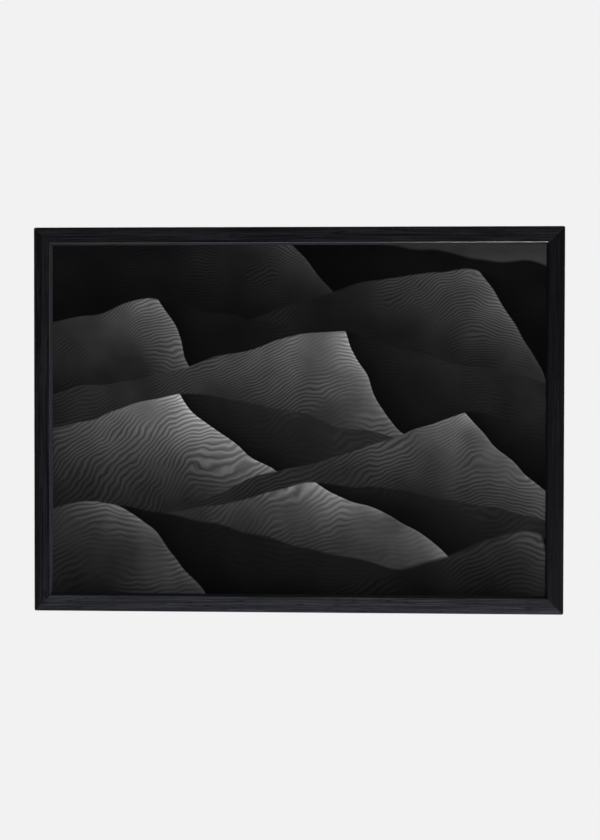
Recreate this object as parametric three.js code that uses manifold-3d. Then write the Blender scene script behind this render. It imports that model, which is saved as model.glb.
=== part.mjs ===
// A landscape wall picture: four mitred rails of black-stained wood hold a clear pane, a print and a
// backing board, and bendable tabs keep the sheets in. It hangs on a toothed plate on the board.
// Millimetres, +Z up, and the front looks along -Y. The origin is the middle notch of the
// landscape hanger, where the nail bears.
import * as THREE from "three";
import { mergeVertices } from "three/addons/utils/BufferGeometryUtils.js";
import Module from "manifold-3d";

const wasm = await Module();
wasm.setup();

// The sheets, from the front: a clear pane, a 70 by 50 cm print and a backing board.
const SHEET_WIDTH = 700;
const SHEET_HEIGHT = 500;
const PANE_THICKNESS = 2;
const PRINT_THICKNESS = 0.3;
const BOARD_THICKNESS = 3;
const SHEET_GAP = 0.1; // between one sheet and the next

// The moulding, measured on its section.
const FACE_WIDTH = 22; // outer side to the front edge of the opening
const MOULDING_DEPTH = 24; // front face to back face
const LIP_DEPTH = 12; // front face to the shelf that the pane bears on
const INNER_LEAN = 2; // how far the inner wall leans into the opening
const SHELF_COVER = 7; // how much of each sheet's edge the shelf hides
const SHEET_PLAY = 1; // free room around the sheets
const FRONT_ROUND = 1.4; // outer front edge
const SIGHT_ROUND = 1; // front edge of the opening
const BACK_ROUND = 0.6; // edges on the wall side
const ROUND_STEPS = 4; // facets of each rounded edge
const MITRE_GAP = 0.3; // fine joint line between two rails

// Tabs that are driven into the rebate and bent flat over the board.
const TAB_WIDTH = 8;
const TAB_THICKNESS = 0.5;
const TAB_BITE = 6; // length inside the wood
const TAB_REACH = 14; // length over the board
const TAB_LIFT = 0.2; // between tab and board
const TABS_ON_LONG_RAIL = [-285, -105, 105, 285];
const TABS_ON_SHORT_RAIL = [-185, -62, 62, 185];

// Two-legged corner nails, driven from the back across each mitre.
const NAIL_LEG = 6;
const NAIL_THICKNESS = 0.5;
const NAIL_LENGTH = 10;
const NAIL_SINK = 0.3; // below the back face
const NAIL_PLACES = [4.5, 9.5]; // distance in from both outer sides

// Toothed hanger: a bent steel strip whose raised middle leaves room for a nail.
const HANGER_LENGTH = 66;
const HANGER_HEIGHT = 16;
const HANGER_THICKNESS = 1;
const HANGER_RISE = 2.2; // height of the raised middle over the ends
const HANGER_MIDDLE = 34; // length of the raised middle
const HANGER_SLOPE = 3; // run of each slope down to the ends
const HANGER_END_ROUND = 4;
const HANGER_DROP = 26; // board edge to the notch that the nail bears in
const NOTCH_COUNT = 7;
const NOTCH_PITCH = 4.6;
const NOTCH_DEPTH = 2;
const NOTCH_TOP = 1.8;
const NOTCH_MOUTH = 3.6;

// Rivets that hold each hanger to the board.
const RIVET_RADIUS = 1.9;
const RIVET_HEAD_RADIUS = 3.6;
const RIVET_HEAD_HEIGHT = 1.3;
const RIVET_OFFSET = 26.5; // from the hanger's middle
const RIVET_SIDES = 20;

const PLAY = 0.3; // room around a piece that sits in another
const OVERCUT = 1; // how far a cutting tool runs past the face it opens

// Worked-out places: the wall plane is y = 0 and the middle of the picture is x = z = 0.
const LIP_REACH = FACE_WIDTH + INNER_LEAN;
const SHEET_INSET = LIP_REACH - SHELF_COVER; // outer side to a sheet's edge
const REBATE_WALL = SHEET_INSET - SHEET_PLAY; // outer side to the rebate's wall
const FRAME_WIDTH = SHEET_WIDTH + 2 * SHEET_INSET;
const FRAME_HEIGHT = SHEET_HEIGHT + 2 * SHEET_INSET;
const SHELF_Y = LIP_DEPTH - MOULDING_DEPTH;
const PANE_BACK = SHELF_Y + SHEET_GAP + PANE_THICKNESS;
const PRINT_BACK = PANE_BACK + SHEET_GAP + PRINT_THICKNESS;
const BOARD_BACK = PRINT_BACK + SHEET_GAP + BOARD_THICKNESS;
const TAB_BACK = BOARD_BACK + TAB_LIFT + TAB_THICKNESS;
const HANGER_BASE = BOARD_BACK + SHEET_GAP;
const NOTCH_Y = HANGER_BASE + HANGER_RISE + HANGER_THICKNESS / 2;
const NOTCH_Z = SHEET_HEIGHT / 2 - HANGER_DROP;
const RIVET_RISE = HANGER_HEIGHT / 2 - NOTCH_DEPTH; // rivet height over the notch

const stainedWood = new THREE.MeshStandardMaterial({ color: 0x18181b, roughness: 0.5, metalness: 0 });
const clearAcrylic = new THREE.MeshStandardMaterial({
  color: 0xf4f7f7,
  roughness: 0.05,
  metalness: 0,
  transparent: true,
  opacity: 0.15,
});
const printedPaper = new THREE.MeshStandardMaterial({ color: 0x262626, roughness: 0.7, metalness: 0 });
const hardboard = new THREE.MeshStandardMaterial({ color: 0x8a6440, roughness: 0.8, metalness: 0 });
const zincSteel = new THREE.MeshStandardMaterial({ color: 0xa9abad, roughness: 0.35, metalness: 1 });

// A closed outline whose corners are [x, y, rounding].
function roundedShape(corners) {
  const shape = new THREE.Shape();
  corners.forEach(([x, y, rounding], i) => {
    const corner = new THREE.Vector2(x, y);
    const before = new THREE.Vector2(...corners.at(i - 1));
    const after = new THREE.Vector2(...corners[(i + 1) % corners.length]);
    const enter = before.sub(corner).setLength(rounding).add(corner);
    const leave = after.sub(corner).setLength(rounding).add(corner);
    if (i === 0) shape.moveTo(enter.x, enter.y);
    else shape.lineTo(enter.x, enter.y);
    if (rounding > 0) shape.quadraticCurveTo(x, y, leave.x, leave.y);
  });
  return shape;
}

// An outline drawn in X and Z, given a thickness towards the front from the plane y = back.
function slab(shape, back, thickness) {
  const geometry = new THREE.ExtrudeGeometry(shape, {
    depth: thickness,
    bevelEnabled: false,
    curveSegments: ROUND_STEPS,
  });
  return geometry.rotateX(Math.PI / 2).translate(0, back, 0);
}

function sheet(back, thickness) {
  return new THREE.BoxGeometry(SHEET_WIDTH, thickness, SHEET_HEIGHT).translate(0, back - thickness / 2, 0);
}

function solidOf(geometry) {
  const bare = geometry.clone();
  bare.deleteAttribute("normal");
  bare.deleteAttribute("uv");
  const merged = mergeVertices(bare);
  return new wasm.Manifold(
    new wasm.Mesh({
      numProp: 3,
      vertProperties: merged.getAttribute("position").array,
      triVerts: new Uint32Array(merged.index.array),
    }),
  );
}

function geometryOf(solid) {
  const mesh = solid.getMesh();
  const geometry = new THREE.BufferGeometry();
  geometry.setAttribute("position", new THREE.BufferAttribute(mesh.vertProperties, 3));
  geometry.setIndex(new THREE.BufferAttribute(mesh.triVerts, 1));
  return geometry;
}

// The first geometry with all the others cut out of it.
function cut(geometry, tools) {
  return geometryOf(tools.reduce((rest, tool) => rest.subtract(solidOf(tool)), solidOf(geometry)));
}

function named(name, geometry, material) {
  const mesh = new THREE.Mesh(geometry, material);
  mesh.name = name;
  return mesh;
}

// The moulding's section: x runs in from the outer side, y from the front face back to the wall.
function mouldingSection() {
  const front = -MOULDING_DEPTH;
  return roundedShape([
    [0, front, FRONT_ROUND],
    [FACE_WIDTH, front, SIGHT_ROUND],
    [LIP_REACH, SHELF_Y, 0],
    [REBATE_WALL, SHELF_Y, 0],
    [REBATE_WALL, 0, BACK_ROUND],
    [0, 0, BACK_ROUND],
  ]);
}

// A tab's outline in its rail's frame: the driven end is square and the free end is round.
function tabShape(place, play) {
  const half = TAB_WIDTH / 2 + play;
  const driven = TAB_BITE + play - REBATE_WALL;
  const free = -REBATE_WALL - TAB_REACH;
  return roundedShape([
    [place - half, driven, 0],
    [place - half, free, half - play],
    [place + half, free, half - play],
    [place + half, driven, 0],
  ]);
}

// A corner nail's outline at one end of a rail: end is 1 on the right and -1 on the left.
function nailShape(length, inset, end, play) {
  const half = NAIL_THICKNESS / 2 + play;
  const spine = length / 2 - inset;
  const tip = NAIL_LEG + play;
  return roundedShape([
    [end * (spine + half), half - inset, 0],
    [end * (spine - tip), half - inset, 0],
    [end * (spine - tip), -half - inset, 0],
    [end * (spine - half), -half - inset, 0],
    [end * (spine - half), -tip - inset, 0],
    [end * (spine + half), -tip - inset, 0],
  ]);
}

function tabSlot(place) {
  return slab(tabShape(place, PLAY), TAB_BACK + PLAY, TAB_THICKNESS + 2 * PLAY);
}

function nailSlot(length, inset, end) {
  return slab(nailShape(length, inset, end, PLAY), OVERCUT, OVERCUT + NAIL_SINK + NAIL_LENGTH + PLAY);
}

// One rail along X with its outer side on z = 0. Its ends are sheared to 45 degrees.
function railGeometry(length, tabPlaces) {
  const bar = new THREE.ExtrudeGeometry(mouldingSection(), {
    depth: 1,
    bevelEnabled: false,
    curveSegments: ROUND_STEPS,
  });
  const position = bar.getAttribute("position");
  for (let i = 0; i < position.count; i++) {
    const inward = position.getX(i);
    const run = length - 2 * inward - MITRE_GAP;
    position.setXYZ(i, (position.getZ(i) - 0.5) * run, position.getY(i), -inward);
  }
  const nailSlots = NAIL_PLACES.flatMap((inset) => [1, -1].map((end) => nailSlot(length, inset, end)));
  return cut(bar, [...tabPlaces.map(tabSlot), ...nailSlots]);
}

// A rail with its tabs and the nails of its right-hand corner, turned about Y to its side.
function side(name, corner, length, across, tabPlaces, turn) {
  const group = new THREE.Group();
  group.rotation.y = turn;
  const pieces = [named(`rail_${name}`, railGeometry(length, tabPlaces), stainedWood)];
  tabPlaces.forEach((place, i) => {
    const tab = slab(tabShape(place, 0), TAB_BACK, TAB_THICKNESS);
    pieces.push(named(`tab_${name}_${i + 1}`, tab, zincSteel));
  });
  NAIL_PLACES.forEach((inset, i) => {
    const nail = slab(nailShape(length, inset, 1, 0), -NAIL_SINK, NAIL_LENGTH);
    pieces.push(named(`corner_nail_${corner}_${i + 1}`, nail, zincSteel));
  });
  pieces.forEach((piece) => {
    piece.position.z = across / 2;
    group.add(piece);
  });
  return group;
}

// The hanger's bent strip seen from above, with y = 0 at the middle of the raised part.
function hangerBend() {
  const half = HANGER_LENGTH / 2;
  const middle = HANGER_MIDDLE / 2;
  const foot = middle + HANGER_SLOPE;
  const outer = HANGER_THICKNESS / 2;
  const low = -HANGER_RISE;
  const rightHalf = [
    [middle, outer],
    [foot, low + outer],
    [half, low + outer],
    [half, low - outer],
    [foot - outer, low - outer],
    [middle - outer, -outer],
  ];
  const leftHalf = rightHalf.map(([x, y]) => [-x, y]).reverse();
  return roundedShape([...rightHalf, ...leftHalf].map(([x, y]) => [x, y, 0]));
}

// The hanger, with the top of its middle notch at the origin.
function hangerGeometry() {
  const low = -NOTCH_DEPTH;
  const high = HANGER_HEIGHT - NOTCH_DEPTH;
  const half = HANGER_LENGTH / 2;
  const through = 2 * (HANGER_RISE + HANGER_THICKNESS);
  const strip = new THREE.ExtrudeGeometry(hangerBend(), { depth: HANGER_HEIGHT, bevelEnabled: false });
  strip.translate(0, 0, low);
  const outline = roundedShape([
    [-half, low, HANGER_END_ROUND],
    [half, low, HANGER_END_ROUND],
    [half, high, HANGER_END_ROUND],
    [-half, high, HANGER_END_ROUND],
  ]);
  const roundedStrip = solidOf(strip).intersect(solidOf(slab(outline, through / 2, through)));
  const notches = Array.from({ length: NOTCH_COUNT }, (_, i) => {
    const x = (i - (NOTCH_COUNT - 1) / 2) * NOTCH_PITCH;
    const corners = [
      [x - NOTCH_MOUTH / 2, low - OVERCUT, 0],
      [x + NOTCH_MOUTH / 2, low - OVERCUT, 0],
      [x + NOTCH_TOP / 2, 0, 0],
      [x - NOTCH_TOP / 2, 0, 0],
    ];
    return slab(roundedShape(corners), through / 2, through);
  });
  return cut(geometryOf(roundedStrip), [...notches, rivetHole(-1, RIVET_RISE), rivetHole(1, RIVET_RISE)]);
}

// A drill through a sheet of any thickness, left (-1) or right (1) of a hanger's middle.
function rivetHole(hand, z) {
  const length = 2 * (MOULDING_DEPTH + OVERCUT);
  const drill = new THREE.CylinderGeometry(RIVET_RADIUS + PLAY, RIVET_RADIUS + PLAY, length, RIVET_SIDES);
  return drill.translate(hand * RIVET_OFFSET, 0, z);
}

// A domed rivet along Y: its foot is flush with the board's front face.
function rivetGeometry() {
  const foot = BOARD_BACK - BOARD_THICKNESS;
  const seat = HANGER_BASE + HANGER_THICKNESS + SHEET_GAP;
  const dome = new THREE.EllipseCurve(0, seat, RIVET_HEAD_RADIUS, RIVET_HEAD_HEIGHT, 0, Math.PI / 2);
  const profile = [
    new THREE.Vector2(0, foot),
    new THREE.Vector2(RIVET_RADIUS, foot),
    new THREE.Vector2(RIVET_RADIUS, seat),
    ...dome.getPoints(ROUND_STEPS),
  ];
  profile.at(-1).x = 0;
  return new THREE.LatheGeometry(profile, RIVET_SIDES);
}

// A hanger and its rivets near one edge of the board, turned about Y with that edge.
function hangerSet(name, sheetAcross, turn) {
  const group = new THREE.Group();
  group.rotation.y = turn;
  const notchHeight = sheetAcross / 2 - HANGER_DROP;
  const hanger = named(`hanger_${name}`, hangerGeometry(), zincSteel);
  hanger.position.set(0, NOTCH_Y, notchHeight);
  group.add(hanger);
  for (const [hand, word] of [[-1, "left"], [1, "right"]]) {
    const rivet = named(`rivet_${name}_${word}`, rivetGeometry(), zincSteel);
    rivet.position.set(hand * RIVET_OFFSET, 0, notchHeight + RIVET_RISE);
    group.add(rivet);
  }
  return group;
}

// The backing board, drilled for the rivets of both hangers.
function boardGeometry() {
  const rise = RIVET_RISE - HANGER_DROP;
  const drills = [-1, 1].flatMap((hand) => [
    rivetHole(hand, SHEET_HEIGHT / 2 + rise),
    rivetHole(hand, SHEET_WIDTH / 2 + rise).rotateY(Math.PI / 2),
  ]);
  return cut(sheet(BOARD_BACK, BOARD_THICKNESS), drills);
}

const RIGHT_ANGLE = Math.PI / 2;
const atWall = new THREE.Group();
atWall.position.set(0, -NOTCH_Y, -NOTCH_Z);
atWall.add(
  side("top", "top_right", FRAME_WIDTH, FRAME_HEIGHT, TABS_ON_LONG_RAIL, 0),
  side("right", "bottom_right", FRAME_HEIGHT, FRAME_WIDTH, TABS_ON_SHORT_RAIL, RIGHT_ANGLE),
  side("bottom", "bottom_left", FRAME_WIDTH, FRAME_HEIGHT, TABS_ON_LONG_RAIL, 2 * RIGHT_ANGLE),
  side("left", "top_left", FRAME_HEIGHT, FRAME_WIDTH, TABS_ON_SHORT_RAIL, 3 * RIGHT_ANGLE),
  named("pane", sheet(PANE_BACK, PANE_THICKNESS), clearAcrylic),
  named("print", sheet(PRINT_BACK, PRINT_THICKNESS), printedPaper),
  named("backing_board", boardGeometry(), hardboard),
  hangerSet("landscape", SHEET_HEIGHT, 0),
  hangerSet("portrait", SHEET_WIDTH, RIGHT_ANGLE),
);

const picture = new THREE.Group();
picture.add(atWall);

export default picture;
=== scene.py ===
"""A landscape picture in a black-stained wood frame, hung up in a pale studio.

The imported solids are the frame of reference: metres, +Z up, and the front looks along -Y.
"""
import math

import bmesh
import bpy
import numpy as np
from mathutils import Matrix, Vector


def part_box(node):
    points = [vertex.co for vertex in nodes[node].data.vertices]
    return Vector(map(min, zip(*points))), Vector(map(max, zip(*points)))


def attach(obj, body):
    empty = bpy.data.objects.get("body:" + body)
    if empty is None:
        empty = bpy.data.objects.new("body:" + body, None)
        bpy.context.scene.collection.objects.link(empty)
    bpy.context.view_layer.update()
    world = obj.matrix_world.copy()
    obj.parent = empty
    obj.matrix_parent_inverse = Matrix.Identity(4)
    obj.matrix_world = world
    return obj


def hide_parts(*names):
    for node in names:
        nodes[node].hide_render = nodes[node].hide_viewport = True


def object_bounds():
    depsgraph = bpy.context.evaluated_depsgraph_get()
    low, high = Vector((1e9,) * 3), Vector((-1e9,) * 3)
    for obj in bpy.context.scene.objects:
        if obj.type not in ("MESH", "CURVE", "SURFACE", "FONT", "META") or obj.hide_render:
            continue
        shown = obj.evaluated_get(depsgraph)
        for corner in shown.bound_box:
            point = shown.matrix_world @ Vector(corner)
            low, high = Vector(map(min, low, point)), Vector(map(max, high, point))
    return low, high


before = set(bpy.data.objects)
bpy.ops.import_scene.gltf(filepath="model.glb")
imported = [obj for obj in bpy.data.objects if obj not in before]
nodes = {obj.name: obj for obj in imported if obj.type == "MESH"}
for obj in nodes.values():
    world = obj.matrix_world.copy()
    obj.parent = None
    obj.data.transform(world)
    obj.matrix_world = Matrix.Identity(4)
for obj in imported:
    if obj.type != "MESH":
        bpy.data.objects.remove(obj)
cad_low, cad_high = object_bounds()
MM = 0.001

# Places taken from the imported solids.
print_low, print_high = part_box("print")
SHEET_HEIGHT = print_high.z - print_low.z
WIDTH = cad_high.x - cad_low.x
HEIGHT = cad_high.z - cad_low.z
MIDDLE = (cad_low + cad_high) / 2
FRONT = cad_low.y
FRONT_CENTRE = Vector((MIDDLE.x, FRONT, MIDDLE.z))
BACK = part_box("rail_top")[1].y

# The moulding's section: inward from the outer side, and back from the front face.
FACE_WIDTH = 22 * MM
MOULDING_DEPTH = BACK - FRONT
LIP_DEPTH = 12 * MM
LIP_REACH = 24 * MM
REBATE_WALL = 16 * MM
# Its corners, each with its rounding and the spacing of points on the run that follows.
SECTION = [
    (REBATE_WALL, LIP_DEPTH, 0, 1.5 * MM),
    (REBATE_WALL, MOULDING_DEPTH, 0.6 * MM, 0.8 * MM),
    (0, MOULDING_DEPTH, 0.6 * MM, 0.55 * MM),
    (0, 0, 1.4 * MM, 0.45 * MM),
    (FACE_WIDTH, 0, 0.8 * MM, 0.55 * MM),
    (LIP_REACH, LIP_DEPTH, 0.4 * MM, 1.5 * MM),
]
SIGHT_EDGE = (FACE_WIDTH, 0)
ROUND_STEPS = 6
SLICE = 2.4 * MM  # spacing of sections along a rail
JOINT = 0.06 * MM  # room between two mitred ends
EASE = 0.45 * MM  # how much the edges of a mitred end are eased
END_SLICES = np.array([0, 0.15, 0.45, 0.9, 1.5, 2.3, 3.2]) * MM  # closer sections at a mitred end
CORNER_ROUND = 3.0 * MM  # the frame's outer corners, sanded after glueing
WEAR_AND_GLINT_WIDTH = 0.5 * MM  # of the pale stripe along an edge, partly wear and partly a painted highlight
WEAR_AND_GLINT_REACH = 1.4  # how many widths it reaches from the edge, fading over the last of them
MITRE_WEAR_AND_GLINT = 0.45  # how pale the mitred ends are made, beside the sight edge: partly wear, partly a painted highlight along the joint

# The wood's relief, in layers: length along the rail, width across it, and depth.
GRAIN = {
    "ridges": (45 * MM, 1.7 * MM, 0.05 * MM),
    "fibres": (22 * MM, 0.9 * MM, 0.04 * MM),
    "pores": (12 * MM, 0.8 * MM, 0.09 * MM),
}
MEANDER = 3 * MM  # how far the grain strays sideways
MEANDER_LENGTH = 90 * MM
MEANDER_WIDTH = 25 * MM
PORE_START = 0.7  # where a swell begins to open into a pore
PORE_RAMP = 0.2

# Slots for what is driven into the wood.
NAIL_THICKNESS = 0.5 * MM
SLOT_PLAY = 0.15 * MM
SLOT_OPENING = 1 * MM  # how far a slot's cutter stands out of the wood

# Pressed steel: rolled-over edges, rounded bends, and tabs that don't all lie quite flat.
EDGE_ROUND = 0.12 * MM
BEND_ROUND = 0.9 * MM
ROUND_SEGMENTS = 3
EDGE_TURN = 60  # degrees that a sheet's edge turns by at least
BEND_TURN = 25  # degrees that a bend turns by at least
BEND_LENGTH = 5 * MM
TAB_TILT = math.radians(2.5)
TAB_SEED = 7

# Rivets: radii of the shank and the dimple, and the head's height.
RIVET_SHANK = 1.9 * MM
RIVET_DIMPLE = 0.8 * MM
RIVET_HEAD = 1.3 * MM
RIVET_STEPS = 36
DOME_START = 0.1  # radians above the seat
DOME_STEPS = 9
DIMPLE_FLOOR = 0.7  # radius of the dimple's floor, as a share of its rim's
DIMPLE_DEPTH = 0.3 * MM
DIMPLE_MIDDLE = 0.35 * MM

MERGE = 0.001 * MM  # points closer than this become one
SHARP = math.radians(40)  # edges that turn by more than this look sharp


class Wire:
    """A socket of a node tree that takes part in Python expressions."""

    def __init__(self, tree, socket=None):
        self.tree = tree
        self.socket = socket

    def node(self, kind, settings=None, inputs=None, output=0):
        """Adds a node, sets its settings, fills or links its sockets, and gives one output."""
        made = self.tree.nodes.new("ShaderNode" + kind)
        for name, value in (settings or {}).items():
            setattr(made, name, value)
        for name, value in (inputs or {}).items():
            if isinstance(value, Wire):
                self.tree.links.new(value.socket, made.inputs[name])
            else:
                made.inputs[name].default_value = value
        return Wire(self.tree, made.outputs[output])

    def maths(self, operation, *values):
        return self.node("Math", {"operation": operation}, dict(enumerate(values)))

    def __add__(self, other):
        return self.maths("ADD", self, other)

    def __sub__(self, other):
        return self.maths("SUBTRACT", self, other)

    def __rsub__(self, other):
        return self.maths("SUBTRACT", other, self)

    def __mul__(self, other):
        return self.maths("MULTIPLY", self, other)

    def __truediv__(self, other):
        return self.maths("DIVIDE", self, other)

    def __rtruediv__(self, other):
        return self.maths("DIVIDE", other, self)

    def __abs__(self):
        return self.maths("ABSOLUTE", self)

    __radd__ = __add__
    __rmul__ = __mul__


def sine(angle):
    return angle.maths("SINE", angle)


def fading(distance, reach):
    """1 at no distance, falling off smoothly over the reach."""
    return distance.maths("EXPONENT", distance * (-1 / reach))


def step(value, low, high):
    """0 at low and 1 at high, with a soft passage between; low may be the greater of the two."""
    sockets = {"Value": value, "From Min": low, "From Max": high}
    return value.node("MapRange", {"interpolation_type": "SMOOTHSTEP"}, sockets)


# The colour sockets of a Mix node go by number, because its other sockets have the same names.
MIX_SHARE, MIX_FIRST, MIX_SECOND = 0, 6, 7
MIX_RESULT = 2


def mix(first, second, share):
    """A colour between two colours."""
    sockets = {MIX_SHARE: share, MIX_FIRST: first, MIX_SECOND: second}
    return share.node("Mix", {"data_type": "RGBA"}, sockets, MIX_RESULT)


def split(vector):
    """The x, y and z of a vector."""
    parts = vector.node("SeparateXYZ", inputs={0: vector}).socket.node.outputs
    return [Wire(vector.tree, part) for part in parts]


def stretched(place, x, y, z):
    """The place scaled along each axis, for patterns that run one way."""
    return place.node("VectorMath", {"operation": "MULTIPLY"}, {0: place, 1: (x, y, z)})


def shifted(place, x, y, z):
    """The place moved, for a pattern of its own."""
    return place.node("VectorMath", {"operation": "ADD"}, {0: place, 1: (x, y, z)})


def noise(place, scale, detail=2.0, roughness=0.5):
    sockets = {"Vector": place, "Scale": scale, "Detail": detail, "Roughness": roughness}
    return place.node("TexNoise", inputs=sockets)


def flat_noise(sheet, scale, detail):
    """Noise over the x and y of a flat sheet."""
    sockets = {"Vector": sheet, "Scale": scale, "Detail": detail}
    return sheet.node("TexNoise", {"noise_dimensions": "2D"}, sockets)


def carried(place, name):
    """A value that the mesh carries at each of its points."""
    return place.node("Attribute", {"attribute_name": name}, output="Fac")


def bump(height, strength, distance):
    sockets = {"Height": height, "Strength": strength, "Distance": distance}
    return height.node("Bump", inputs=sockets)


def new_finish(name, even):
    """A material, its surface with the even values set on it, and a wire to places on its object."""
    material = bpy.data.materials.new(name)
    material.use_nodes = True
    surface = material.node_tree.nodes["Principled BSDF"]
    for socket, value in even.items():
        surface.inputs[socket].default_value = value
    place = Wire(material.node_tree).node("TexCoord", output="Object")
    return material, surface, place


def feed(surface, **wires):
    """Links wires to the surface's sockets, named with _ for a space."""
    for name, wire in wires.items():
        wire.tree.links.new(wire.socket, surface.inputs[name.replace("_", " ")])


def grey(level):
    return (level, level, level, 1)


# Black stain: where it lies thick, where it lies thin, in a pore, and a pale edge colour that is partly
# wear and partly a painted highlight.
THICK_STAIN = (0.0026, 0.0026, 0.0031, 1)
THIN_STAIN = (0.033, 0.0338, 0.0395, 1)
PORE_STAIN = (0.0015, 0.0015, 0.0018, 1)
WORN_AND_GLINT_STAIN = (0.085, 0.089, 0.098, 1)
WALL_PAINTED_LIGHT = 0.2  # painted light: how much paler the inner wall is made, standing in for the light that falls on it
FIBRE_SQUEEZE = 0.012  # the pattern's scale along the grain, where it is 1 across


def stained_wood_with_painted_light(name, along, soft, hard, wear_and_glint_share):
    """Black stain over open grain that runs along one axis: satin, bluish, and pale where it lies thin.

    soft, hard: how pale the soft and the hard grain are, a per-rail paleness that is painted sheen;
    rubbed: how pale and shiny the edges are, the paleness partly wear and partly a painted highlight.
    The inner wall is made paler as painted light.
    """
    material, surface, place = new_finish(name, {
        "IOR": 1.5,
        "Specular IOR Level": 0.08,
        "Specular Tint": (0.82, 0.86, 1.0, 1),
        "Coat Roughness": 0.18,
        "Coat IOR": 2.2,
    })
    stretch = [1, 1, 1]
    stretch["xyz".index(along)] = FIBRE_SQUEEZE
    fibres = stretched(place, *stretch)
    streaks = noise(fibres, scale=850, detail=3, roughness=0.6)
    bands = noise(fibres, scale=120, detail=2, roughness=0.5)
    figure = streaks * 0.8 + bands * 0.2
    wear_and_glint = carried(place, "wear_and_glint")
    thin = step(figure, low=0.41, high=0.63)
    # Grain paleness, plus painted sheen set per rail through soft and hard, plus painted light on the
    # inner wall.
    pale = soft + thin * (hard - soft) + carried(place, "wall") * WALL_PAINTED_LIGHT
    stain = mix(THICK_STAIN, THIN_STAIN, pale)
    grained = mix(stain, PORE_STAIN, carried(place, "pore") * 0.6)
    feed(
        surface,
        # The pale edge colour is partly wear and partly a painted highlight; the coat on the same
        # stripe is real gloss.
        Base_Color=mix(grained, WORN_AND_GLINT_STAIN, wear_and_glint * (streaks * 0.8 + 0.3) * wear_and_glint_share),
        Roughness=0.54 + streaks * 0.24,
        Coat_Weight=wear_and_glint * wear_and_glint_share,
        Normal=bump(figure, strength=0.3, distance=0.2 * MM),
    )
    return material


def clear_acrylic():
    material, _, _ = new_finish("clear_acrylic", {
        "Base Color": (0.985, 0.99, 0.99, 1),
        "Roughness": 0.0,
        "IOR": 1.49,
        "Transmission Weight": 1.0,
    })
    return material


DULL_ZINC = (0.50, 0.51, 0.53, 1)
BRIGHT_ZINC = (0.66, 0.67, 0.68, 1)


def zinc_steel():
    material, surface, place = new_finish("zinc_steel", {"Metallic": 1.0})
    cloud = noise(place, scale=900, detail=3)
    scratches = noise(stretched(place, 1, 1, 0.05), scale=4000, detail=2)
    feed(
        surface,
        Base_Color=mix(DULL_ZINC, BRIGHT_ZINC, cloud),
        Roughness=0.26 + cloud * 0.2,
        Normal=bump(scratches, strength=0.12, distance=0.05 * MM),
    )
    return material


DARK_FIBRE = (0.105, 0.054, 0.024, 1)
PALE_FIBRE = (0.215, 0.122, 0.060, 1)
DARK_FLECK = (0.060, 0.031, 0.014, 1)


def hardboard():
    material, surface, place = new_finish("hardboard", {"IOR": 1.45})
    fibres = noise(stretched(place, 1, 1, 0.35), scale=700, detail=4, roughness=0.65)
    specks = noise(stretched(place, 0.3, 1, 1), scale=1500, detail=2)
    flecks = step(specks, low=0.62, high=0.75)
    clouds = noise(place, scale=14, detail=3)
    tone = mix(DARK_FIBRE, PALE_FIBRE, fibres * 0.6 + clouds * 0.4)
    feed(
        surface,
        Base_Color=mix(tone, DARK_FLECK, flecks * 0.6),
        Roughness=0.62 + fibres * 0.25,
        Normal=bump(fibres, strength=0.3, distance=0.2 * MM),
    )
    return material


# The printed dunes, from the farthest to the nearest. Lengths are shares of the sheet's height, from
# its middle. Each row: the summit's place, across and up; how fast the skyline falls to its left and
# right; lean and sway of the ridge that comes down from the summit; the light on the ridge's left;
# lines of ripples over the sheet's height, and how much they tilt; the blur of the outline.
DUNES = [
    ((-0.10, 0.56), (0.12, 0.18), (0.9, 0.04), 0.10, (128, 0.1), 0.004),
    ((0.46, 0.43), (0.24, 0.30), (0.8, 0.04), 0.20, (124, 0.2), 0.003),
    ((-0.44, 0.35), (0.32, 0.22), (1.0, 0.05), 0.26, (118, 0.3), 0.002),
    ((0.12, 0.25), (0.22, 0.26), (0.8, 0.06), 0.52, (112, 0.2), 0.0015),
    ((-0.30, 0.07), (0.25, 0.18), (1.1, 0.06), 0.66, (104, 0.3), 0.0015),
    ((0.50, 0.03), (0.32, 0.26), (0.7, 0.05), 0.40, (98, 0.1), 0.002),
    ((0.06, -0.16), (0.24, 0.20), (1.2, 0.07), 0.46, (90, 0.25), 0.002),
    ((-0.56, -0.22), (0.26, 0.22), (1.0, 0.06), 0.24, (80, 0.2), 0.004),
    ((0.62, -0.30), (0.34, 0.30), (0.8, 0.05), 0.10, (66, 0.2), 0.008),
]
SUMMIT_ROUND = 0.03
SKYLINE_WANDER = 0.08
RIDGE_WANDER = 0.14
RIDGE_WAVES = 9
RIDGE_GLOW = 0.17  # how far the light reaches from the ridge
FAR_LIGHT = 0.08  # what is left of it further off
DIM_REACH = 0.22  # how fast a dune gets darker below its skyline
RIM_WIDTH = 0.007
RIM_LIGHT = 0.5
RIPPLE = 0.38  # how much the ripples lighten and darken the sand
FINE_RIPPLE = 0.10
SHADE_LIGHT = 0.06  # on the ridge's right
DARKEST_INK = 0.0022
PALEST_PAPER = 0.8


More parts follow.
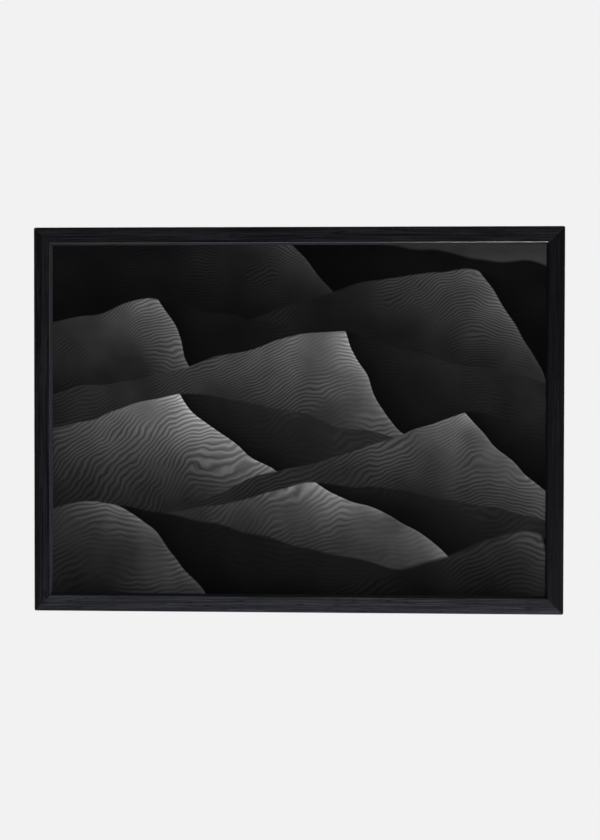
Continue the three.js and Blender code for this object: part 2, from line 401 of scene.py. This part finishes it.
def dune_tone(behind, sheet, across, up, rolling, rippled, dune, number):
    """One dune laid over the tones behind it."""
    (centre, height), (left, right), (lean, sway), light, (lines, tilt), soft = dune
    own = shifted(sheet, number * 3.4, number * 1.8, 0)
    wander = flat_noise(own, scale=3, detail=2) - 0.5
    off = across - centre
    fall = off.maths("SMOOTH_MAX", off * right, off * -left, SUMMIT_ROUND)
    below = height - fall + wander * SKYLINE_WANDER - up
    drop = height - up
    edge = off - drop * lean - sine(drop * RIDGE_WAVES + number) * sway - wander * RIDGE_WANDER
    lit = step(edge, soft, -soft)
    near = fading(abs(edge), RIDGE_GLOW)
    bend = flat_noise(own, scale=4, detail=3)
    phase = (below + edge * tilt + bend * 0.10) * (2 * math.pi * lines)
    comb = (sine(phase) * RIPPLE + sine(phase * 2 + bend * 40) * FINE_RIPPLE) * rippled
    rim = fading(abs(edge), RIM_WIDTH) * RIM_LIGHT
    bright = (near * (1 - FAR_LIGHT) + FAR_LIGHT + rim) * rolling * (1 + comb)
    shade = ((1 - near) * rolling + 0.10) * (1 + comb * 0.5) * SHADE_LIGHT
    dimming = fading(abs(below), DIM_REACH)
    tone = (shade + (bright - shade) * lit) * dimming * light + DARKEST_INK
    cover = step(below, -soft, soft)
    return behind + (tone - behind) * cover


def dune_print():
    """Matte paper with a dark monochrome print of wind-rippled dunes under a hazy sky."""
    material, surface, place = new_finish("printed_paper", {"IOR": 1.45, "Specular IOR Level": 0.1})
    x, _, z = split(place)
    across = (x - MIDDLE.x) / SHEET_HEIGHT
    up = (z - MIDDLE.z) / SHEET_HEIGHT
    sheet = place.node("CombineXYZ", inputs={0: across, 1: up})
    rolling = 0.15 + flat_noise(sheet, scale=5, detail=3) * 1.5
    patches = flat_noise(sheet, scale=4.5, detail=2)
    rippled = 0.25 + step(patches, low=0.38, high=0.60) * 0.9
    haze = step(across + up * 0.8, low=0.2, high=1.1) * (0.03 + rolling * 0.05)
    tone = 0.004 + rolling * 0.01 + haze
    for number, dune in enumerate(DUNES):
        tone = dune_tone(tone, sheet, across, up, rolling, rippled, dune, number)
    grain = flat_noise(sheet, scale=800, detail=1)
    tone = tone * (0.56 + grain * 0.48)
    tone = tone.maths("MINIMUM", tone, PALEST_PAPER)
    fibre = flat_noise(sheet, scale=1500, detail=1)
    feed(
        surface,
        Base_Color=mix(grey(0.0), grey(1.0), tone),
        Roughness=0.6 + fibre * 0.15,
        Normal=bump(fibre, strength=0.08, distance=0.03 * MM),
    )
    return material


def section_ring():
    """The moulding's outline as points, with the outward normal and the distance along it at each."""
    corners = np.array([corner[:2] for corner in SECTION])
    ring = []
    for i, (_, _, rounding, spacing) in enumerate(SECTION):
        following = (i + 1) % len(SECTION)
        here = corners[i]
        to_last = corners[i - 1] - here
        to_next = corners[following] - here
        enter = here + to_last * (rounding / np.linalg.norm(to_last))
        leave = here + to_next * (rounding / np.linalg.norm(to_next))
        if rounding:
            for t in np.linspace(0, 1, ROUND_STEPS + 1)[:-1]:
                ring.append(enter * (1 - t) ** 2 + here * (2 * t * (1 - t)) + leave * t ** 2)
        end = corners[following] - to_next * (SECTION[following][2] / np.linalg.norm(to_next))
        count = max(1, round(np.linalg.norm(end - leave) / spacing))
        ring.extend(leave + (end - leave) * t for t in np.linspace(0, 1, count + 1)[:-1])
    ring = np.array(ring)
    tangent = np.roll(ring, -1, 0) - np.roll(ring, 1, 0)
    normal = np.stack([tangent[:, 1], -tangent[:, 0]], 1)
    normal /= np.linalg.norm(normal, axis=1)[:, None]
    steps = np.linalg.norm(np.diff(ring, axis=0), axis=1)
    return ring, normal, np.concatenate([[0], np.cumsum(steps)])


def swell(rng, along, across):
    """Smooth random heights from 0 to 1, one for each unit cell."""
    along = along - along.min()
    across = across - across.min()
    heights = rng.random((int(along.max()) + 2, int(across.max()) + 2))
    i = along.astype(int)
    j = across.astype(int)
    s = along - i
    t = across - j
    s = s * s * (3 - 2 * s)
    t = t * t * (3 - 2 * t)
    near = heights[i, j] * (1 - s) + heights[i + 1, j] * s
    far = heights[i, j + 1] * (1 - s) + heights[i + 1, j + 1] * s
    return near * (1 - t) + far * t


def wood_grain(rng, along, across):
    """How deep the surface lies below its nominal face, and how much of it is open pore."""
    meander = across + swell(rng, along / MEANDER_LENGTH, across / MEANDER_WIDTH) * MEANDER
    sunk = 0
    for layer, (length, width, depth) in GRAIN.items():
        heights = swell(rng, along / length, meander / width)
        if layer == "pores":
            heights = np.clip((heights - PORE_START) / PORE_RAMP, 0, 1)
            pores = heights
        sunk = sunk + heights * depth
    return sunk, pores


def sanded_corner(along, inward, length):
    """Draws points that stand outside the frame's rounded corner back onto it."""
    beyond = np.abs(along) - (length / 2 - CORNER_ROUND)
    outside = CORNER_ROUND - inward
    reach = np.hypot(beyond, outside)
    excess = (beyond > 0) & (outside > 0) & (reach > CORNER_ROUND)
    share = np.where(excess, CORNER_ROUND / np.maximum(reach, CORNER_ROUND / 2), 1)
    along = np.sign(along) * (length / 2 - CORNER_ROUND + np.where(excess, beyond * share, beyond))
    return along, CORNER_ROUND - outside * share


def rail_stations(length):
    """Where the sections stand along a rail, from -1 to 1, and how far each is from the nearer end."""
    last = END_SLICES[-1]
    inner = np.linspace(last, length - last, round(length / SLICE))[1:-1]
    stations = np.concatenate([END_SLICES, inner, length - END_SLICES[::-1]]) / length * 2 - 1
    return stations, np.minimum(stations + 1, 1 - stations) * (length / 2)


def moulding(name, length, seed):
    """One rail along X with its outer side on z = 0, its front at y = 0 and both ends mitred."""
    rng = np.random.default_rng(seed)
    ring, normal, arc = section_ring()
    stations, from_end = rail_stations(length)
    inset = np.clip(1 - from_end / EASE, 0, 1) ** 2 * EASE
    half_run = length / 2 - ring[:, 0] - JOINT / 2
    along = stations[:, None] * half_run
    depth, pores = wood_grain(rng, along, np.broadcast_to(arc, along.shape))
    sunk = ring - normal * (depth + inset[:, None])[..., None]
    inward, back = sunk[..., 0], sunk[..., 1]
    along[[0, -1]] = stations[[0, -1], None] * (length / 2 - inward[[0, -1]] - JOINT / 2)
    along, inward = sanded_corner(along, inward, length)
    places = np.stack([along, back, -inward], -1).reshape(-1, 3)
    rows, columns = along.shape
    index = np.arange(rows * columns).reshape(rows, columns)
    beside = np.roll(index, -1, 1)
    quads = np.stack([index[:-1], beside[:-1], beside[1:], index[1:]], -1).reshape(-1, 4)
    faces = quads.tolist() + [index[0, ::-1].tolist(), index[-1].tolist()]
    mesh = bpy.data.meshes.new(name)
    mesh.from_pydata(places.tolist(), [], faces)

    # The pale stripe along the sight edge and at the mitred ends: partly wear, partly a painted
    # highlight.
    to_sight_edge = np.linalg.norm(ring - SIGHT_EDGE, axis=1)
    sight_edge_wear_and_glint = np.clip(WEAR_AND_GLINT_REACH - to_sight_edge / WEAR_AND_GLINT_WIDTH, 0, 1)
    mitre_wear_and_glint = np.clip(WEAR_AND_GLINT_REACH - from_end / WEAR_AND_GLINT_WIDTH, 0, 1) * MITRE_WEAR_AND_GLINT
    wear_and_glint = np.maximum(sight_edge_wear_and_glint, mitre_wear_and_glint[:, None])
    # The inner wall is marked so that the stain can be made paler there: painted light.
    wall = np.broadcast_to((ring[:, 0] > FACE_WIDTH) & (ring[:, 1] < LIP_DEPTH), along.shape)
    for carries, values in (("pore", pores), ("wear_and_glint", wear_and_glint), ("wall", wall)):
        attribute = mesh.attributes.new(carries, "FLOAT", "POINT")
        attribute.data.foreach_set("value", values.ravel().astype(np.float32))
    return mesh


def extruded(bm, outline, start, end):
    """Adds a closed prism to the mesh: an outline in x and z, drawn out along y."""
    if sum(x * outline[i - 1][1] - z * outline[i - 1][0] for i, (x, z) in enumerate(outline)) < 0:
        outline = outline[::-1]
    front = [bm.verts.new((x, start, z)) for x, z in outline]
    back = [bm.verts.new((x, end, z)) for x, z in outline]
    bm.faces.new(front[::-1])
    bm.faces.new(back)
    for i in range(len(outline)):
        bm.faces.new((front[i - 1], front[i], back[i], back[i - 1]))


def nail_slot(bm, node):
    """Room for a two-legged corner nail, open at the back."""
    low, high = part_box(node)
    side_x = 1 if low.x > MIDDLE.x else -1
    side_z = 1 if low.z > MIDDLE.z else -1
    corner_x = high.x if side_x > 0 else low.x
    corner_z = high.z if side_z > 0 else low.z
    leg = high.x - low.x + SLOT_PLAY
    thick = NAIL_THICKNESS + SLOT_PLAY
    edge = -SLOT_PLAY
    inward = [(edge, edge), (leg, edge), (leg, thick), (thick, thick), (thick, leg), (edge, leg)]
    outline = [(corner_x - side_x * u, corner_z - side_z * v) for u, v in inward]
    extruded(bm, outline, low.y - SLOT_PLAY, BACK + SLOT_OPENING)


def tab_slot(bm, node):
    """Room for the part of a tab that is driven into the rebate."""
    low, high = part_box(node)
    outline = [
        (low.x - SLOT_PLAY, low.z - SLOT_PLAY),
        (high.x + SLOT_PLAY, low.z - SLOT_PLAY),
        (high.x + SLOT_PLAY, high.z + SLOT_PLAY),
        (low.x - SLOT_PLAY, high.z + SLOT_PLAY),
    ]
    extruded(bm, outline, low.y - SLOT_PLAY, high.y + SLOT_PLAY)


def new_mesh(name, bm):
    """Turns a mesh in the making into a finished one."""
    mesh = bpy.data.meshes.new(name)
    bm.to_mesh(mesh)
    bm.free()
    return mesh


def slot_cutter():
    """One mesh with the room for every nail and tab."""
    bm = bmesh.new()
    for node in nodes:
        if node.startswith("corner_nail_"):
            nail_slot(bm, node)
        elif node.startswith("tab_"):
            tab_slot(bm, node)
    return bpy.data.objects.new("slot_cutter", new_mesh("slot_cutter", bm))


def settle(piece):
    """Turns a piece's modifiers into its mesh."""
    graph = bpy.context.evaluated_depsgraph_get()
    shown = piece.evaluated_get(graph)
    mesh = bpy.data.meshes.new_from_object(shown, preserve_all_data_layers=True, depsgraph=graph)
    piece.modifiers.clear()
    piece.data = mesh


def new_piece(name, mesh, node):
    """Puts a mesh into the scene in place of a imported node."""
    piece = bpy.data.objects.new(name, mesh)
    bpy.context.scene.collection.objects.link(piece)
    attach(piece, "root")
    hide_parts(node)
    return piece


def slotted(piece, cutter):
    """Cuts the slots into a piece for good."""
    cut = piece.modifiers.new("slots", "BOOLEAN")
    cut.solver = "MANIFOLD"
    cut.operation = "DIFFERENCE"
    cut.object = cutter
    settle(piece)


def inward_of(place, side):
    """How far a place lies inward of the frame's outer side."""
    return {
        "top": cad_high.z - place.z,
        "right": cad_high.x - place.x,
        "bottom": place.z - cad_low.z,
        "left": place.x - cad_low.x,
    }[side]


def bent_tab(bm, side, tilt):
    """Lifts a tab's free end a little off the board."""
    level = side in ("top", "bottom")
    outer = {"top": cad_high.z, "right": cad_high.x, "bottom": cad_low.z, "left": cad_low.x}[side]
    wall = outer - REBATE_WALL if side in ("top", "right") else outer + REBATE_WALL
    plane = (0, 0, wall) if level else (wall, 0, 0)
    normal = (0, 0, 1) if level else (1, 0, 0)
    everything = bm.verts[:] + bm.edges[:] + bm.faces[:]
    bmesh.ops.bisect_plane(bm, geom=everything, plane_co=plane, plane_no=normal)
    for vert in bm.verts:
        free = max(0, inward_of(vert.co, side) - REBATE_WALL)
        vert.co.y += free * math.tan(tilt)


def even_shading(mesh):
    """Weighs normals by area, so that flat faces shade flat and only the rounded edges shade round."""
    normals = np.zeros((len(mesh.vertices), 3))
    for face in mesh.polygons:
        normals[list(face.vertices)] += np.array(face.normal) * face.area
    normals /= np.linalg.norm(normals, axis=1)[:, None]
    mesh.normals_split_custom_set_from_vertices(normals.tolist())


def pressed_steel(node, material, tilt=0):
    """A packed sheet-steel piece again, with rolled-over edges and rounded bends."""
    bm = bmesh.new()
    bm.from_mesh(nodes[node].data)
    bmesh.ops.remove_doubles(bm, verts=bm.verts, dist=MERGE)
    if tilt:
        bent_tab(bm, node.split("_")[1], tilt)
    weights = bm.edges.layers.float.new("bevel_weight_edge")
    for edge in bm.edges:
        turn = math.degrees(edge.calc_face_angle(0))
        if turn > EDGE_TURN:
            edge[weights] = EDGE_ROUND / BEND_ROUND
        elif turn > BEND_TURN and edge.calc_length() > BEND_LENGTH:
            edge[weights] = 1
    mesh = new_mesh("steel_" + node, bm)
    mesh.materials.append(material)
    mesh.shade_smooth()
    piece = new_piece("steel_" + node, mesh, node)
    rounding = piece.modifiers.new("rounding", "BEVEL")
    rounding.limit_method = "WEIGHT"
    rounding.width = BEND_ROUND
    rounding.segments = ROUND_SEGMENTS
    settle(piece)
    even_shading(piece.data)


def turned(name, profile, middle):
    """A mesh turned about a line along y, from radii and places on the line; both ends lie on it."""
    angles = np.arange(RIVET_STEPS) * (2 * math.pi / RIVET_STEPS)
    places = [(middle.x, profile[0][1], middle.z)]
    for radius, y in profile[1:-1]:
        for angle in angles:
            places.append((middle.x + radius * math.cos(angle), y, middle.z + radius * math.sin(angle)))
    places.append((middle.x, profile[-1][1], middle.z))
    first = 0
    last = len(places) - 1
    rings = np.arange(1, last).reshape(-1, RIVET_STEPS)
    beside = np.roll(rings, -1, 1)
    faces = np.stack([rings[:-1], rings[1:], beside[1:], beside[:-1]], -1).reshape(-1, 4).tolist()
    for i in range(RIVET_STEPS):
        faces.append((first, int(rings[0, i]), int(beside[0, i])))
        faces.append((last, int(beside[-1, i]), int(rings[-1, i])))
    mesh = bpy.data.meshes.new(name)
    mesh.from_pydata(places, [], faces)
    return mesh


def domed_rivet(node, material):
    """A smooth rivet with the dimple of its setting tool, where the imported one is."""
    low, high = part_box(node)
    middle = (low + high) / 2
    radius = (high.x - low.x) / 2
    seat = high.y - RIVET_HEAD
    profile = [(0, low.y), (RIVET_SHANK, low.y), (RIVET_SHANK, seat), (radius - EDGE_ROUND, seat)]
    rim = math.acos(RIVET_DIMPLE / radius)
    for angle in np.linspace(DOME_START, rim, DOME_STEPS):
        profile.append((radius * math.cos(angle), seat + RIVET_HEAD * math.sin(angle)))
    profile.append((RIVET_DIMPLE * DIMPLE_FLOOR, high.y - DIMPLE_DEPTH))
    profile.append((0, high.y - DIMPLE_MIDDLE))
    mesh = turned("steel_" + node, profile, middle)
    mesh.materials.append(material)
    mesh.shade_smooth()
    mesh.set_sharp_from_angle(angle=SHARP)
    new_piece("steel_" + node, mesh, node)


def dress(node, material):
    """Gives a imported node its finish."""
    piece = nodes[node]
    piece.data.materials.clear()
    piece.data.materials.append(material)
    return piece


# The camera, fitted to the frame's outer corners and to how much of its inner walls shows.
CAMERA_DISTANCE = 2.0
CAMERA_AZIMUTH = math.radians(2.4)
CAMERA_ELEVATION = math.radians(1.115)
CAMERA_ROLL = math.radians(0.1)
CAMERA_LENS = 62.0  # in millimetres, as the sensor is
CAMERA_SENSOR = 36
CAMERA_TARGET = Vector((MIDDLE.x + 3.9 * MM, FRONT, MIDDLE.z + 0.3 * MM))


def camera():
    data = bpy.data.cameras.new("camera")
    data.lens = CAMERA_LENS
    data.sensor_width = CAMERA_SENSOR
    thing = bpy.data.objects.new("camera", data)
    bpy.context.scene.collection.objects.link(thing)
    level = math.cos(CAMERA_ELEVATION)
    back = Vector((
        math.sin(CAMERA_AZIMUTH) * level,
        -math.cos(CAMERA_AZIMUTH) * level,
        math.sin(CAMERA_ELEVATION),
    ))
    right = Vector((math.cos(CAMERA_AZIMUTH), math.sin(CAMERA_AZIMUTH), 0))
    turn = Matrix((right, back.cross(right), back)).transposed()
    thing.matrix_world = Matrix.Translation(CAMERA_TARGET + back * CAMERA_DISTANCE) @ (
        turn @ Matrix.Rotation(CAMERA_ROLL, 3, "Z")
    ).to_4x4()
    bpy.context.scene.camera = thing


PALE = 0.887  # the studio's pale background
DIM = 0.008  # what the room sends back from where no light stands


def background():
    """Pale where the camera sees it, and dim for everything that it would light."""
    scene = bpy.context.scene
    scene.view_settings.view_transform = "Standard"
    world = bpy.data.worlds.new("studio")
    scene.world = world
    world.use_nodes = True
    tree = world.node_tree
    tree.nodes.clear()
    start = Wire(tree)
    seen = start.node("LightPath", output="Is Camera Ray")
    pale = start.node("Background", inputs={"Color": grey(PALE)})
    dim = start.node("Background", inputs={"Color": grey(DIM)})
    both = start.node("MixShader", inputs={0: seen, 1: dim, 2: pale})
    output = tree.nodes.new("ShaderNodeOutputWorld")
    tree.links.new(both.socket, output.inputs["Surface"])


FLOOR_HEIGHT = -1.75
FLOOR_REACH = 2.9
FLOOR_SIDES = 160
FLOOR_GLOW = 0.86
FLOOR_MIRRORED = 0.4  # how much of its glow shiny things show
FLOOR_CORE = 0.5  # within this distance, fading to none near its rim
FLOOR_RIM = FLOOR_REACH * 0.9


def pale_floor():
    """A round floor far below the picture, as pale as the background."""
    bpy.ops.mesh.primitive_circle_add(
        vertices=FLOOR_SIDES, radius=FLOOR_REACH, fill_type="NGON", location=(0, 0, FLOOR_HEIGHT)
    )
    floor = bpy.context.object
    floor.name = "floor"
    material, surface, place = new_finish("floor", {
        "Base Color": grey(0.04),
        "Roughness": 0.9,
        "Specular IOR Level": 0.0,
        "Emission Strength": FLOOR_GLOW,
    })
    mirrored = place.node("LightPath", output="Is Glossy Ray")
    distance = place.node("VectorMath", {"operation": "LENGTH"}, {0: place}, "Value")
    faded = mix(grey(0.0), grey(FLOOR_MIRRORED), step(distance, FLOOR_RIM, FLOOR_CORE))
    feed(surface, Emission_Color=mix(grey(1.0), faded, mirrored))
    floor.data.materials.append(material)


def softbox(name, place, size, watts, target=FRONT_CENTRE, mirrored=True, lit=None):
    """A soft rectangular light that faces its target.

    mirrored: whether shiny things show it; lit: the collection that it lights, if not everything.
    """
    data = bpy.data.lights.new(name, "AREA")
    data.shape = "RECTANGLE"
    data.size, data.size_y = size
    data.energy = watts
    lamp = bpy.data.objects.new(name, data)
    bpy.context.scene.collection.objects.link(lamp)
    lamp.location = place
    lamp.rotation_euler = (Vector(target) - lamp.location).to_track_quat("-Z", "Y").to_euler()
    lamp.visible_camera = False
    lamp.visible_glossy = mirrored
    lamp.visible_transmission = mirrored
    lamp.light_linking.receiver_collection = lit


# What some of the lights are kept to.
woodwork = bpy.data.collections.new("woodwork")
paperwork = bpy.data.collections.new("paperwork")


def lights():
    """The print is lit from straight in front, the wood from below and from the right."""
    softbox("front", (0.1, -2.1, MIDDLE.z), size=(0.8, 0.8), watts=17, mirrored=False, lit=paperwork)
    softbox("low_front", (-0.1, -1.2, -1.2), size=(1.4, 0.4), watts=12.7, mirrored=False, lit=woodwork)
    softbox("below", (0.65, -0.42, -1.6), size=(1.3, 0.4), watts=36, lit=woodwork)
    softbox("right_side", (5.5, -0.8, -0.2), size=(1.4, 1.6), watts=220, lit=woodwork)
    softbox("top_front", (0.5, -1.1, 1.6), size=(1.0, 1.0), watts=10, mirrored=False)
    softbox("rear", (-1.1, 1.7, 0.5), size=(1.4, 1.4), watts=22, mirrored=False)
    softbox("rear_glow", (0.0, 2.0, -0.1), size=(3.6, 2.2), watts=18)
    softbox("overhead", (0.3, 0.9, 1.6), size=(1.6, 1.2), watts=20, target=(0, 0.6, FLOOR_HEIGHT))


# Each rail: its length, how far its outer side is from the middle, its quarter turns about Y, the way
# its grain runs, how pale its soft and its hard grain are, and how pale and shiny its edges are.
# The paleness that differs from rail to rail is painted sheen, palest on the bottom rail; the pale
# edges are partly wear and partly a painted highlight, strongest on the top rail.
RAILS = {
    "top": (WIDTH, HEIGHT / 2, 0, "x", 0.05, 0.46, 1.0),
    "right": (HEIGHT, WIDTH / 2, 1, "z", 0.02, 0.16, 0.12),
    "bottom": (WIDTH, HEIGHT / 2, 2, "x", 0.30, 0.88, 0.2),
    "left": (HEIGHT, WIDTH / 2, 3, "z", 0.04, 0.38, 0.05),
}


def rails():
    """The four rails, with slots for what is driven into them."""
    cutter = slot_cutter()
    for seed, (side, rail) in enumerate(RAILS.items()):
        length, reach, turns, along, soft, hard, wear_and_glint_share = rail
        mesh = moulding("moulding_" + side, length, seed)
        turn = Matrix.Rotation(turns * math.pi / 2, 4, "Y")
        mesh.transform(Matrix.Translation(FRONT_CENTRE) @ turn @ Matrix.Translation((0, 0, reach)))
        wood = stained_wood_with_painted_light("stained_wood_with_painted_light_" + side, along, soft, hard, wear_and_glint_share)
        mesh.materials.append(wood)
        dress("rail_" + side, wood)
        piece = new_piece("moulding_" + side, mesh, "rail_" + side)
        woodwork.objects.link(piece)
        slotted(piece, cutter)
        piece.data.shade_smooth()
        piece.data.set_sharp_from_angle(angle=SHARP)
    bpy.data.objects.remove(cutter)


def steelwork():
    """The hangers, tabs and rivets anew; the corner nails stay as packed."""
    steel = zinc_steel()
    rng = np.random.default_rng(TAB_SEED)
    for node in nodes:
        if node.startswith(("tab_", "corner_nail_", "hanger_", "rivet_")):
            dress(node, steel)
        if node.startswith("hanger_"):
            pressed_steel(node, steel)
        elif node.startswith("tab_"):
            pressed_steel(node, steel, TAB_TILT * rng.random())
        elif node.startswith("rivet_"):
            domed_rivet(node, steel)


def sheets():
    """The pane, which lets all light through to the print, the print and the board behind it."""
    pane = dress("pane", clear_acrylic())
    pane.visible_shadow = False
    pane.visible_diffuse = False
    paper = dress("print", dune_print())
    paperwork.objects.link(paper)
    dress("backing_board", hardboard())


camera()
background()
pale_floor()
lights()
rails()
steelwork()
sheets()
